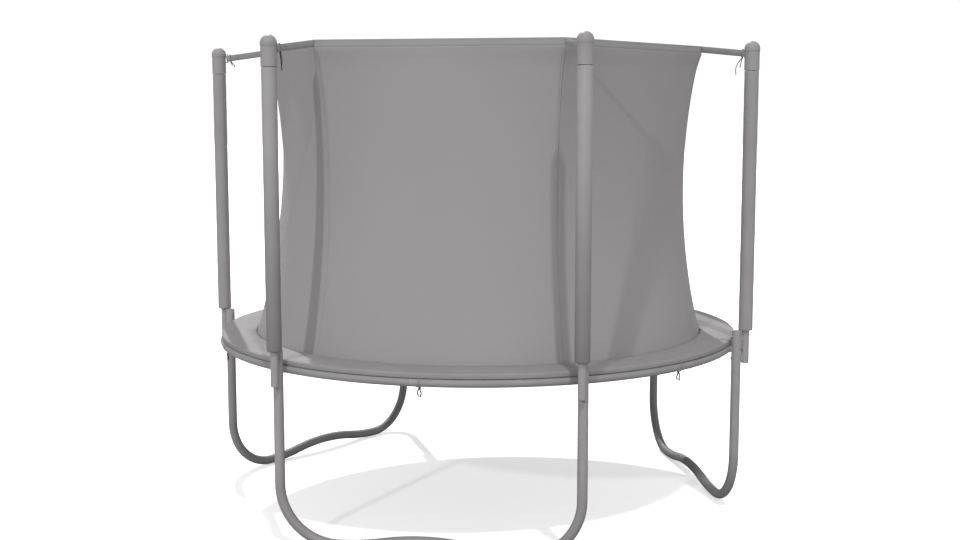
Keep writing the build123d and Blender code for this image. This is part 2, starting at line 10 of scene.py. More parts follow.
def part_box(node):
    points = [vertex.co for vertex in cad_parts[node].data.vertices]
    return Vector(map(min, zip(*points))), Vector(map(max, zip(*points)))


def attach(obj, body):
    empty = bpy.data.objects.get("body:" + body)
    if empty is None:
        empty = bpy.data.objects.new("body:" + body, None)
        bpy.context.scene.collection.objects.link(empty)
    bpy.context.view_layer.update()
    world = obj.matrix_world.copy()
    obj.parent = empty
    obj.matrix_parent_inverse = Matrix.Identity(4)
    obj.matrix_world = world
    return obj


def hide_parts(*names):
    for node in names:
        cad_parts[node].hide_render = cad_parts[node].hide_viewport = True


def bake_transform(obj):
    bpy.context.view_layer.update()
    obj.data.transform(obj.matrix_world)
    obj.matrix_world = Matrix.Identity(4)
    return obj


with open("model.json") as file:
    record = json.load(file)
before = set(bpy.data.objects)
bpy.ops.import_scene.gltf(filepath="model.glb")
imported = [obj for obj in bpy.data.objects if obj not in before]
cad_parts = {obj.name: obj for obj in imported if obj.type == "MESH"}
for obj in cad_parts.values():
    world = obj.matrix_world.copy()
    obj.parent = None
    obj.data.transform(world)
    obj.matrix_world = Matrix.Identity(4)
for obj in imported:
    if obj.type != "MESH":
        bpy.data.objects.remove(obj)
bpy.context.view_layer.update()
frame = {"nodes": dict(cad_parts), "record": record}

# A round trampoline with a safety net. Metres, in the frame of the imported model: the origin is
# the centre of the jumping mat's top face. A bearing is degrees from -Y, positive towards +X.

NODES = frame["nodes"]
SIDES = ("front_left", "front_right", "right_front", "right_rear", "left_rear", "left_front")
SPRINGS = 48
PANELS = 6

# --- measures read from the CAD model ---


def centre(node):
    low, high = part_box(node)
    return (low + high) / 2


def heights_of(node):
    low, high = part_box(node)
    return low.z, high.z


def spots_of(mesh):
    flat = np.zeros(len(mesh.vertices) * 3)
    mesh.vertices.foreach_get("co", flat)
    return flat.reshape(-1, 3)


def vertices(node):
    return spots_of(NODES[node].data)


def surface(node):
    mesh = NODES[node].data
    return BVHTree.FromPolygons([v.co for v in mesh.vertices], [p.vertices[:] for p in mesh.polygons])


UP = np.array((0.0, 0.0, 1.0))


def outward(bearing):
    return np.array((sin(radians(bearing)), -cos(radians(bearing)), 0.0))


def sideways(bearing):
    return np.array((cos(radians(bearing)), sin(radians(bearing)), 0.0))


def at(radius, bearing, height):
    return outward(bearing) * radius + UP * height


def bearing_of(spot):
    return degrees(atan2(spot[0], -spot[1]))


def apart(a, b):
    """Degrees from bearing b to bearing a, from -180 to 180."""
    return (a - b + 180) % 360 - 180


def first_of(spots, count):
    """Bearing of the first of count evenly spaced features, from points spread evenly about them."""
    angles = np.arctan2(spots[:, 0], -spots[:, 1])
    phase = np.exp(1j * angles * count).mean()
    return degrees(atan2(phase.imag, phase.real)) / count


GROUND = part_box("leg_base_front")[0].z
POLES = [centre(f"pole_upper_{side}") for side in SIDES]
UPRIGHTS = [centre(f"leg_upright_{side}") for side in SIDES]
RING_LOW, RING_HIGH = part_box("ring_section_1")
RING_TUBE = (RING_HIGH.z - RING_LOW.z) / 2
RING_RADIUS = RING_HIGH.x - RING_TUBE
RING_MIDDLE = RING_LOW.z + RING_TUBE
MAT_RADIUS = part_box("jumping_mat")[1].x
HEM_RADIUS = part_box("mat_hem")[1].x
HEM_LOW, HEM_HIGH = heights_of("mat_hem")
PAD_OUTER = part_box("pad_cover")[1].x
PAD_INNER = float(np.hypot(*vertices("pad_cover")[:, :2].T).min())
PAD_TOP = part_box("pad_cover")[1].z
PAD_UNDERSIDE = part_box("pad_backing")[0].z
NET_LOW, NET_HIGH = heights_of("enclosure_net")
BAND_LOW, BAND_HIGH = heights_of("net_top_band")
STRAP_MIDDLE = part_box("net_straps")[0].z + 0.0163       # above the straps' lower edges
ZIP_LOW, ZIP_HIGH = heights_of("zip_tape")
SLEEVE_LOW, SLEEVE_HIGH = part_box("foam_sleeve_front_left")

band = vertices("net_top_band")
band_reach = np.hypot(band[:, 0], band[:, 1])
FIRST_CORNER = first_of(band[band_reach > band_reach.max() - 1e-4], PANELS)
CORNER_RADIUS = float(band_reach.max())
CORNERS = [FIRST_CORNER + 360 * index / PANELS for index in range(-1, PANELS - 1)]
FIRST_SPRING = first_of(vertices("triangle_rings"), SPRINGS)
SPRING_BEARINGS = [FIRST_SPRING + 360 * index / SPRINGS for index in range(SPRINGS)]
ENTRANCE = bearing_of(centre("zip_slider"))

# --- mesh building ---


def measured(path):
    """Length along the path, up to each of its points."""
    steps = np.linalg.norm(np.diff(path, axis=0), axis=1)
    return np.concatenate([[0], np.cumsum(steps)])


def between(values, lengths, marks):
    """Rows of values, each at its length along a path, read off at the marks."""
    return np.stack([np.interp(marks, lengths, column) for column in values.T], -1)


def linked(name, data):
    """A new object in the scene."""
    made = bpy.data.objects.new(name, data)
    bpy.context.scene.collection.objects.link(made)
    return made


class Shell:
    """Vertices, faces and face-corner UVs gathered for one object."""

    def __init__(self):
        self.spots, self.faces, self.corners = [], [], []

    def add(self, spots, faces, corners=None):
        base = len(self.spots)
        self.spots.extend(map(tuple, np.asarray(spots, float)))
        self.faces.extend(tuple(base + i for i in face) for face in faces)
        self.corners.extend(corners or [[(0.0, 0.0)] * len(face) for face in faces])

    def grid(self, rows, across, along, wrap_rows=False, wrap_across=False):
        """Quads between equal rows of points; across and along give UVs in metres."""
        rows = np.asarray(rows, float)
        count, size = rows.shape[:2]
        faces, corners = [], []
        for i in range(count if wrap_rows else count - 1):
            k = (i + 1) % count
            for j in range(size if wrap_across else size - 1):
                m = (j + 1) % size
                faces.append((i * size + j, i * size + m, k * size + m, k * size + j))
                corners.append([
                    (across[j], along[i]), (across[j + 1], along[i]),
                    (across[j + 1], along[i + 1]), (across[j], along[i + 1]),
                ])
        self.add(rows.reshape(-1, 3), faces, corners)

    def sweep(self, path, x_axes, y_axes, section, closed=False):
        """A closed section carried along a path, its points (x, y) in one or more pairs of axes."""
        path, section = np.asarray(path, float), np.asarray(section, float)
        x_axes, y_axes = np.broadcast_to(x_axes, path.shape), np.broadcast_to(y_axes, path.shape)
        across, along = section[None, :, :1], section[None, :, 1:]
        rows = path[:, None] + x_axes[:, None] * across + y_axes[:, None] * along
        loop = np.vstack([section, section[:1]])
        across, along = measured(loop), measured(np.vstack([path, path[:1]]))
        base = len(self.spots)
        self.grid(rows, across, along, wrap_rows=closed, wrap_across=True)
        if not closed:
            size = len(section)
            last = base + (len(path) - 1) * size
            for cap in (range(base + size - 1, base - 1, -1), range(last, last + size)):
                self.faces.append(tuple(cap))
                self.corners.append([(0.0, 0.0)] * size)

    def cord(self, path, radius, sides=8, closed=False):
        """A round cord or wire along a path."""
        path = np.asarray(path, float)
        x_axes, y_axes = carried_axes(path, closed)
        angles = np.arange(sides) * 2 * pi / sides
        section = np.stack([np.cos(angles), np.sin(angles)], 1) * radius
        self.sweep(path, x_axes, y_axes, section, closed)

    def stitches(self, path, normals, pitch, radius=0.0007, fill=0.68):
        """Short raised threads along a path."""
        path = np.asarray(path, float)
        normals = np.broadcast_to(normals, path.shape)
        lengths = measured(path)
        marks = np.arange(pitch / 2, lengths[-1], pitch)
        middle, up = between(path, lengths, marks), between(normals, lengths, marks)
        along = between(path, lengths, marks + 1e-4) - middle
        along /= np.maximum(np.linalg.norm(along, axis=1, keepdims=True), 1e-9)
        side = np.cross(up, along)
        half = pitch * fill / 2
        ring = [side * radius, up * radius * 1.3, -side * radius, -up * radius * 0.6]
        spots = np.stack(
            [middle - along * half] + [middle + r for r in ring] + [middle + along * half], 1
        )
        faces = []
        for i in range(len(marks)):
            b = i * 6
            for a, c in ((1, 2), (2, 3), (3, 4), (4, 1)):
                faces += [(b, b + c, b + a), (b + 5, b + a, b + c)]
        self.add(spots.reshape(-1, 3), faces)

    def build(self, name, slot, nodes=(), body="frame", look=None):
        """Make the object, in its slot's look; body is None for a piece that is left without a parent
        body.
        """
        mesh = bpy.data.meshes.new(name)
        mesh.from_pydata(self.spots, [], self.faces)
        layer = mesh.uv_layers.new(name="UVMap")
        layer.data.foreach_set("uv", np.array([c for face in self.corners for c in face]).ravel())
        mesh.polygons.foreach_set("use_smooth", [True] * len(self.faces))
        mesh.materials.append(look or LOOKS[slot])
        mesh.update()
        piece = linked(name, mesh)
        if nodes:
            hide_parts(*nodes)
        if body:
            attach(piece, body)
        return piece


def carried_axes(path, closed):
    """Two unit axes square to the path at each point, turned as little as possible."""
    if closed:
        ahead = np.roll(path, -1, 0) - np.roll(path, 1, 0)
    else:
        ahead = np.gradient(path, axis=0)
    ahead /= np.linalg.norm(ahead, axis=1, keepdims=True)
    x = np.zeros_like(path)
    guide = UP if abs(ahead[0][2]) < 0.9 else np.array((1.0, 0, 0))
    for i, tangent in enumerate(ahead):
        guide = guide - tangent * (guide @ tangent)
        guide /= np.linalg.norm(guide)
        x[i] = guide
    return x, np.cross(ahead, x)


def headings(path):
    ahead = np.gradient(np.asarray(path, float), axis=0)
    return ahead / np.linalg.norm(ahead, axis=1, keepdims=True)


def smooth(points, steps=8, closed=False):
    """A Catmull-Rom curve through the points."""
    points = np.asarray(points, float)
    if closed:
        padded = np.vstack([points[-1], points, points[:2]])
    else:
        padded = np.vstack([2 * points[0] - points[1], points, 2 * points[-1] - points[-2]])
    t = np.linspace(0, 1, steps, endpoint=False)[:, None]
    spans = []
    for a, b, c, d in zip(padded, padded[1:], padded[2:], padded[3:]):
        square = 2 * a - 5 * b + 4 * c - d
        cube = 3 * (b - c) + d - a
        spans.append(0.5 * (2 * b + (c - a) * t + square * t**2 + cube * t**3))
    curve = np.vstack(spans)
    return curve if closed else np.vstack([curve, points[-1]])


def slab(width, thick):
    """Section of a flat webbing: rounded edges, x across and y through the thickness."""
    w, t, r = width / 2, thick / 2, thick * 0.35
    return [
        (-w, -t + r), (-w + r, -t), (0, -t), (w - r, -t), (w, -t + r),
        (w, t - r), (w - r, t), (0, t), (-w + r, t), (-w, t - r),
    ]


def blend_by(piece):
    """Bake the piece's placement into its mesh."""
    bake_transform(piece)


def reach(piece):
    """Each vertex's distance from the vertical axis."""
    return np.hypot(*spots_of(piece.data)[:, :2].T)


# --- materials ---

WARM_GREY = np.array((0.357, 0.342, 0.351))


class Look:
    """A node material: a base colour with mottling, a fine relief and uneven gloss, with painted
    light and shade where a look asks for it.
    """

    def __init__(self, name, tone, roughness, metallic=0.0, use_uv=False):
        self.material = bpy.data.materials.new(name)
        self.material.use_nodes = True
        self.tree = self.material.node_tree
        self.shader = self.tree.nodes["Principled BSDF"]
        self.shader.inputs["Metallic"].default_value = metallic
        coordinates = self.tree.nodes.new("ShaderNodeTexCoord")
        self.where = coordinates.outputs["UV" if use_uv else "Object"]
        self.object = coordinates.outputs["Object"]
        self.colour = (*(WARM_GREY * tone), 1.0)
        self.roughness = roughness
        # a painted light and shade ramp on height, which only the front foam sets
        self.fade = None

    def add(self, kind, inputs, out=0, **settings):
        node = self.tree.nodes.new("ShaderNode" + kind)
        for key, value in settings.items():
            setattr(node, key, value)
        for key, value in inputs.items():
            if isinstance(value, bpy.types.NodeSocket):
                self.tree.links.new(value, node.inputs[key])
            else:
                node.inputs[key].default_value = value
        return node.outputs[out]

    def stretch(self, source, scale):
        return self.add("Mapping", {"Vector": source, "Scale": scale})

    def noise(self, scale, detail=3.0, source=None):
        inputs = {"Vector": source or self.object, "Scale": scale, "Detail": detail}
        return self.add("TexNoise", inputs)

    def bands(self, period, direction, distortion=0.0):
        return self.add(
            "TexWave",
            {"Vector": self.where, "Scale": 0.314 / period, "Distortion": distortion, "Detail": 1.0},
            out=1, wave_type="BANDS", bands_direction=direction,
        )

    def math(self, operation, a, b):
        return self.add("Math", {0: a, 1: b}, operation=operation)

    def times(self, a, b):
        return self.math("MULTIPLY", a, b)

    def blend(self, a, share_a, b, share_b):
        """Two heights added, each first cut to its share."""
        return self.math("ADD", self.times(a, share_a), self.times(b, share_b))

    def fit(self, value, low, high, start=0.0, end=1.0):
        return self.add(
            "MapRange",
            {"Value": value, "From Min": start, "From Max": end, "To Min": low, "To Max": high},
        )

    def finish(
        self, relief, depth, mottle=0.08, mottle_scale=3.0,
        groove_shade=0.0, worn=0.0, gloss=0.08, sheen=0.0, shine=0.3,
    ):
        """Join colour, roughness and bump; relief is a height from 0 to 1, and groove paints shade
        into its low parts.
        """
        spots = self.fit(self.noise(mottle_scale, 5.0), 1 - mottle, 1 + mottle, 0.3, 0.7)
        # mottling, times the painted light and shade ramp where the look has one
        shade = self.times(spots, self.fade) if self.fade else spots
        # painted shade: the colour darkens where the relief is low, in the hollows of the weave,
        # braid or grain
        if groove_shade:
            shade = self.times(shade, self.fit(relief, 1 - groove_shade, 1.0))
        tint = self.add(
            "Mix", {0: 1.0, 6: self.colour, 7: self.grey(shade)},
            out=2, data_type="RGBA", blend_type="MULTIPLY",
        )
        if worn:
            edge = self.add("NewGeometry", {}, out=7)
            scuff = self.times(self.fit(edge, 0.0, 1.0, 0.52, 0.62), self.noise(90.0, 4.0))
            tint = self.add(
                "Mix", {0: self.times(scuff, worn), 6: tint, 7: (0.55, 0.54, 0.53, 1.0)},
                out=2, data_type="RGBA",
            )
        uneven = self.noise(mottle_scale * 7, 4.0)
        rough = self.fit(uneven, self.roughness - gloss, self.roughness + gloss, 0.3, 0.7)
        bump = self.add("Bump", {"Height": relief, "Distance": depth, "Strength": 1.0})
        for key, value in (("Base Color", tint), ("Roughness", rough), ("Normal", bump)):
            self.tree.links.new(value, self.shader.inputs[key])
        self.shader.inputs["Sheen Weight"].default_value = sheen
        self.shader.inputs["Sheen Roughness"].default_value = 0.5
        self.shader.inputs["Specular IOR Level"].default_value = shine
        return self.material

    def grey(self, value):
        return self.add("CombineColor", {0: value, 1: value, 2: value})


def steel_look():
    look = Look("powder_coat", 0.93, 0.52)
    peel = look.times(look.noise(420.0, 2.0), look.fit(look.noise(40.0), 0.6, 1.0))
    return look.finish(peel, 0.0003, mottle=0.05, mottle_scale=5.0, worn=0.5, gloss=0.07)


def zinc_look():
    look = Look("zinc_plate", 0.95, 0.38, metallic=0.75)
    brushed = look.noise(60.0, 4.0, look.stretch(look.object, (1.0, 1.0, 12.0)))
    return look.finish(
        brushed, 0.0002, mottle=0.14, mottle_scale=40.0, groove_shade=0.1, worn=0.4, gloss=0.12,
    )


def plastic_look():
    look = Look("moulded_plastic", 1.0, 0.5)
    grain = look.noise(900.0, 2.0)
    return look.finish(grain, 0.00015, mottle=0.04, mottle_scale=9.0, worn=0.25, gloss=0.06)


def foam_look(name, foot=1.0, head=1.0):
    """Foam skin, whose tone runs from foot at the sleeve's lower end to head towards its top; a foot
    below 1 is painted shade and a head above 1 is painted light.
    """
    look = Look(name, 1.0, 0.62)
    cells = look.add("TexVoronoi", {"Vector": look.object, "Scale": 480.0})
    creases = look.noise(26.0, 4.0, look.stretch(look.object, (1.0, 1.0, 3.5)))
    relief = look.blend(cells, 0.18, creases, 0.8)
    height = look.add("SeparateXYZ", {"Vector": look.object}, out=2)
    # painted shade low on the sleeve and painted light high up, as a ramp on height
    look.fade = look.fit(height, foot, head, 0.1, 0.95)
    return look.finish(relief, 0.0005, mottle=0.05, mottle_scale=6.0, gloss=0.08, sheen=0.05)


def woven(look, period, mix=0.5):
    """Over-and-under threads: two sets of bands, one shifted by the other."""
    warp, weft = look.bands(period, "X"), look.bands(period, "Y")
    check = look.math("ABSOLUTE", look.math("SUBTRACT", warp, weft), 0.0)
    fuzz = look.noise(700.0, 2.0)
    return look.blend(check, mix, fuzz, 0.3)


def mat_look():
    look = Look("mat_weave", 0.8, 0.6)
    weave = woven(look, 0.0024, 0.7)
    return look.finish(weave, 0.0006, mottle=0.1, mottle_scale=4.0, groove_shade=0.25, sheen=0.1)


def webbing_look():
    look = Look("webbing", 1.02, 0.68, use_uv=True)
    ribs = look.bands(0.0022, "Y")
    threads = look.bands(0.0011, "X", 1.5)
    relief = look.blend(ribs, 0.6, threads, 0.3)
    return look.finish(relief, 0.0005, mottle=0.08, mottle_scale=14.0, groove_shade=0.12, sheen=0.15)


def thread_look():
    look = Look("thread", 0.7, 0.6)
    return look.finish(look.noise(1500.0, 2.0), 0.0002, mottle=0.12, mottle_scale=30.0, sheen=0.1)


def cord_look():
    look = Look("braided_cord", 0.2, 0.75, use_uv=True)
    braid = look.times(look.bands(0.0026, "DIAGONAL"), look.fit(look.noise(500.0), 0.6, 1.0))
    return look.finish(braid, 0.0007, mottle=0.15, mottle_scale=30.0, groove_shade=0.4, sheen=0.2)


def vinyl_look():
    look = Look("pad_vinyl", 0.93, 0.72)
    grain = look.add(
        "TexVoronoi", {"Vector": look.object, "Scale": 330.0, "Smoothness": 0.6}, feature="SMOOTH_F1",
    )
    wrinkles = look.noise(20.0, 5.0)
    relief = look.blend(grain, 0.16, wrinkles, 0.84)
    return look.finish(relief, 0.0012, mottle=0.05, worn=0.15, gloss=0.07, shine=0.15)


def net_look():
    look = Look("knitted_net", 1.06, 0.85, use_uv=True)
    cells = look.add(
        "TexVoronoi", {"Vector": look.where, "Scale": 420.0, "Randomness": 0.12},
        feature="DISTANCE_TO_EDGE",
    )
    yarn = look.fit(cells, 1.0, 0.0, 0.02, 0.3)
    slack = look.noise(9.0, 3.0)
    relief = look.blend(yarn, 0.15, slack, 0.85)
    return look.finish(relief, 0.0012, mottle=0.025, mottle_scale=1.6, gloss=0.04, sheen=0.12)


def zip_look():
    look = Look("zip_tape_weave", 0.8, 0.7, use_uv=True)
    ribs = look.times(look.bands(0.0012, "Y"), 0.7)
    relief = look.math("ADD", ribs, look.noise(900.0, 2.0))
    return look.finish(relief, 0.0004, mottle=0.06, mottle_scale=20.0, groove_shade=0.2, sheen=0.1)


LOOKS = {
    "frame_steel": steel_look(),
    "zinc_hardware": zinc_look(),
    "moulded_plastic": plastic_look(),
    "sleeve_foam": foam_look("foam_skin"),
    "mat_fabric": mat_look(),
    "webbing": webbing_look(),
    "cord": cord_look(),
    "pad_vinyl": vinyl_look(),
    "net_fabric": net_look(),
    "zip_fabric": zip_look(),
}
THREAD = thread_look()
# the front sleeves' foam, with painted shade darkening it towards the bottom and painted light
# lightening its top
FRONT_FOAM_PAINTED_SHADE = foam_look("foam_skin_front_painted_shade", foot=0.64, head=1.17)

for part in frame["record"]["subparts"]:
    node = NODES[part["node"]]
    for spot in node.material_slots:
        spot.material = LOOKS[part["material_slot"]]
    if not node.material_slots:
        node.data.materials.append(LOOKS[part["material_slot"]])

# --- enclosure net ---

net_tree = surface("enclosure_net")
NET_COLUMNS = 288
NET_SHEET = 0.0006              # half the sheet's thickness


def measured_radius(bearing, height):
    """Distance from the axis to the CAD net's inner face, stepping over gaps between panels."""
    for shift in (0.0, 0.12, -0.12, 0.3, -0.3):
        hit = net_tree.ray_cast(Vector((0, 0, height)), Vector(outward(bearing + shift)))[0]
        if hit:
            return hit.xy.length
    raise ValueError(f"no net at bearing {bearing:.2f}, height {height:.3f}")


def near_corner(bearing):
    """Degrees to the nearest corner."""
    return abs((bearing - FIRST_CORNER + 30) % 60 - 30)


def net_heights():
    foot = [NET_LOW + step for step in (0.0, 0.003, 0.007, 0.012, 0.018, 0.026, 0.036, 0.048, 0.062)]
    return np.array(foot + list(np.linspace(NET_LOW + 0.078, BAND_LOW + 0.012, 64)))


HEIGHTS = net_heights()
SLIT = 0.12                     # half the entrance slit, in degrees
net_bearings = np.linspace(ENTRANCE + SLIT, ENTRANCE + 360 - SLIT, NET_COLUMNS + 1)


def net_column(bearing):
    """Radii of the middle of the net's thickness, with soft gathers at the foot and corners.

    The last few centimetres lean out to run up inside the top band's hem.
    """
    clipped = np.clip(HEIGHTS, NET_LOW + 0.0005, NET_HIGH - 0.0005)
    radii = np.array([measured_radius(bearing, height) for height in clipped]) + 0.001
    flat = cos(pi / PANELS) / cos(radians(180 / PANELS - near_corner(bearing)))
    hem = (CORNER_RADIUS - 0.001) * flat - 0.0003
    lean = np.exp(-(((BAND_LOW - HEIGHTS) / 0.045) ** 2))
    lean *= hem - np.interp(BAND_LOW, HEIGHTS, radii)
    radii = np.where(HEIGHTS > BAND_LOW, hem, radii + lean)
    aside = near_corner(bearing)
    gathers = cos(radians((bearing - FIRST_SPRING) * SPRINGS)) * np.exp((NET_LOW - HEIGHTS) / 0.03)
    corner = np.exp(-((aside / 1.6) ** 2))
    pull = np.exp(-((BAND_LOW - HEIGHTS) / 0.12) ** 2)
    folds = np.cos(radians(aside * 130)) * np.exp(-((aside / 5) ** 2)) * pull
    return radii + 0.0009 * gathers + 0.0006 * corner * pull + 0.0003 * folds


net_radii = np.array([net_column(bearing) for bearing in net_bearings])


def net_spot(bearing, height, lift=0.0):
    """A point on the net, by interpolation of its sheet, lifted outward."""
    turned = (bearing - net_bearings[0]) % 360 / (net_bearings[1] - net_bearings[0])
    left = min(int(turned), NET_COLUMNS - 1)
    share = min(turned - left, 1.0)
    radii = net_radii[left] * (1 - share) + net_radii[left + 1] * share
    return at(float(np.interp(height, HEIGHTS, radii)) + lift, bearing, height)


def stretch_net(piece):
    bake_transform(piece)


def make_net():
    sheet = Shell()
    columns = []
    for bearing, radii in zip(net_bearings, net_radii):
        outer = [at(r + NET_SHEET, bearing, z) for r, z in zip(radii, HEIGHTS)]
        inner = [at(r - NET_SHEET, bearing, z) for r, z in zip(radii, HEIGHTS)]
        columns.append(outer + inner[::-1])
    across = list(HEIGHTS) + list(HEIGHTS[::-1]) + [HEIGHTS[0]]
    along = [radians(b - net_bearings[0]) for b in net_bearings] + [0.0]
    sheet.grid(columns, across, along, wrap_across=True)
    size = len(columns[0])
    half = size // 2
    for base in (0, NET_COLUMNS * size):
        for j in range(half - 1):
            edge = (base + j, base + j + 1, base + size - 2 - j, base + size - 1 - j)
            sheet.faces.append(edge if base else edge[::-1])
            sheet.corners.append([(0.0, 0.0)] * 4)
    stretch_net(sheet.build("net_sheet", "net_fabric", ["enclosure_net"], body=None))


SEAM_SECTION = (
    (-0.0040, -0.0006), (0.0040, -0.0006), (0.0036, -0.0001), (0.0010, 0.0001), (0, 0.0004),
    (-0.0010, 0.0001), (-0.0036, -0.0001),
)


def make_net_seams():
    """A narrow folded seam up each corner, with one row of stitches each side of the fold."""
    seam, thread = Shell(), Shell()
    heights = np.concatenate([
        np.linspace(NET_LOW + 0.004, NET_LOW + 0.08, 14),
        np.linspace(NET_LOW + 0.1, BAND_LOW + 0.006, 56),
    ])
    for bearing in CORNERS:
        path = np.array([net_spot(bearing, z, 0.0007) for z in heights])
        side = sideways(bearing)
        out = np.cross(side, headings(path))
        seam.sweep(path, side, out, SEAM_SECTION)
        for shift in (-0.0024, 0.0024):
            thread.stitches(path + side * shift + out * 0.0004, out, 0.0045, 0.0003)
    stretch_net(seam.build("net_corner_seams", "net_fabric", body=None))
    stretch_net(thread.build("net_corner_stitches", "cord", body=None, look=LOOKS["net_fabric"]))


def make_net_foot():
    """The bound edge along the net's foot."""
    binding = Shell()
    bearings = np.arange(0, 360, 1.25)
    path, ups, outs = [], [], []
    for bearing in bearings:
        low, high = net_spot(bearing, NET_LOW + 0.001), net_spot(bearing, NET_LOW + 0.013)
        path.append((low + high) / 2)
        up = (high - low) / np.linalg.norm(high - low)
        ups.append(up)
        outs.append(np.cross(sideways(bearing), up))
    binding.sweep(path, np.array(ups), np.array(outs), slab(0.013, 0.0036), closed=True)
    stretch_net(binding.build("net_foot_binding", "webbing", body=None))


def hexagon_path(radius, rounding=0.006, steps=5, along=24):
    """Points round a hexagon with slightly rounded corners, with outward directions."""
    spots, outs = [], []
    for bearing in CORNERS:
        corner = at(radius, bearing, 0)
        before, after = sideways(bearing - 30), sideways(bearing + 30)
        start = corner - before * rounding * 0.577
        end = corner + after * rounding * 0.577
        centre_point = start - outward(bearing - 30) * rounding
        for step in range(steps + 1):
            turn = outward(bearing - 30 + 60 * step / steps)
            spots.append(centre_point + turn * rounding)
            outs.append(turn)
        following = at(radius, bearing + 60, 0) - after * rounding * 0.577
        for step in range(1, along):
            spots.append(end + (following - end) * step / along)
            outs.append(outward(bearing + 30))
    return np.array(spots), np.array(outs)


def make_band():
    """The folded hem round the net's top: a cord in its upper fold and two stitched rows."""
    spots, outs = hexagon_path(CORNER_RADIUS - 0.001)
    spots[:, 2] = BAND_LOW
    top = BAND_HIGH - BAND_LOW
    section = [
        (-0.0010, 0.0), (0.0004, 0.0), (0.0008, 0.0008), (0.0009, 0.006), (0.0011, 0.012),
        (0.0010, top - 0.010), (0.0007, top - 0.0065), (0.0013, top - 0.0045), (0.0016, top - 0.0022),
        (0.0008, top - 0.0004), (-0.0004, top), (-0.0018, top - 0.0008), (-0.0022, top - 0.003),
        (-0.0014, top - 0.006),
    ]
    cloth = Shell()
    cloth.sweep(spots, outs, UP, section, closed=True)
    cloth.build("net_top_hem", "webbing", ["net_top_band"], look=LOOKS["net_fabric"])
    thread = Shell()
    loop, aims = np.vstack([spots, spots[:1]]), np.vstack([outs, outs[:1]])
    for level in (0.0045, top - 0.0085):
        thread.stitches(loop + aims * 0.0009 + (0, 0, level), aims, 0.0055, 0.0004)
    thread.build("net_top_stitches", "cord", look=LOOKS["net_fabric"])


# --- straps and cords at the caps ---

BAR = 0.0435                    # the cap's strap bar, from the cap's axis
STRAP_WIDTH = 0.0285


def strap_axes(index):
    """The strap's bar end, its length and its axes: along to the net's corner, sideways and up."""
    corner = at(CORNER_RADIUS, CORNERS[index], (BAND_LOW + BAND_HIGH) / 2)
    cap = np.array((*POLES[index].xy, STRAP_MIDDLE))
    level = (corner - cap) * (1, 1, 0)
    bar = cap + level / np.linalg.norm(level) * BAR
    along = corner - bar
    length = np.linalg.norm(along)
    along = along / length
    side = np.array((-along[1], along[0], 0))
    side /= np.linalg.norm(side)
    return bar, length, along, side, np.cross(along, side)


def make_straps():
    strap, thread = Shell(), Shell()
    eye = 0.0062
    for index in range(PANELS):
        bar, length, along, side, up = strap_axes(index)
        flat = [
            (length + 0.003, 0.0), (length * 0.7, 0.0004), (0.042, 0.0003), (0.024, 0.0010),
            (0.010, eye * 0.82), (0.0, eye), (-eye * 0.75, eye * 0.7), (-eye, 0.0),
            (-eye * 0.75, -eye * 0.7), (0.0, -eye),
            (0.010, -eye * 0.82), (0.022, -0.0016), (0.034, -0.0013), (0.052, -0.0013),
        ]
        curve = smooth(flat, 6)
        path = bar + curve[:, :1] * along + curve[:, 1:] * side
        strap.sweep(path, up, np.cross(headings(path), up), slab(STRAP_WIDTH, 0.0012))
        for face, lift in ((1, 0.0008), (-1, -0.0020)):
            box = [(0.030, -0.011), (0.030, 0.011), (0.049, 0.011), (0.049, -0.011), (0.030, -0.011)]
            cross = [(0.030, -0.011), (0.049, 0.011)], [(0.030, 0.011), (0.049, -0.011)]
            for run in (box, *cross):
                line = [bar + along * x + up * z + side * lift for x, z in run]
                thread.stitches(line, side * face, 0.0034, 0.0005)
            end = bar + along * (length - 0.006) + side * (0.0007 * face)
            tack = [end + up * z for z in (-0.012, 0.012)]
            thread.stitches(tack, side * face, 0.0024, 0.0007)
    strap.build("corner_straps", "webbing", ["net_straps"])
    thread.build("strap_stitches", "cord", look=THREAD)


def placed(spots, x_axis, y_axis, z_axis):
    """Points turned so that their own axes lie along the three given ones."""
    return spots[:, :1] * x_axis + spots[:, 1:2] * y_axis + spots[:, 2:] * z_axis


def knot_path(size):
    """A trefoil, drawn up tight."""
    t = np.linspace(0, 2 * pi, 60, endpoint=False)
    x = np.sin(t) + 2 * np.sin(2 * t)
    y = np.cos(t) - 2 * np.cos(2 * t)
    z = -np.sin(3 * t)
    return np.stack([x * 0.75, y, z * 0.9], 1) * size / 3


# How far each pair of loose tails swings along the strap, in metres, and how long they hang.
CAP_TAILS = (
    (0.010, 0.068, 0.004, 0.050), (-0.008, 0.056, 0.010, 0.044), (0.036, 0.072, 0.016, 0.040),
    (0.010, 0.058, -0.006, 0.050), (0.008, 0.062, -0.008, 0.044), (0.016, 0.022, 0.006, 0.014),
)
CINCH = 0.014                   # the cord's place on the strap, from the bar


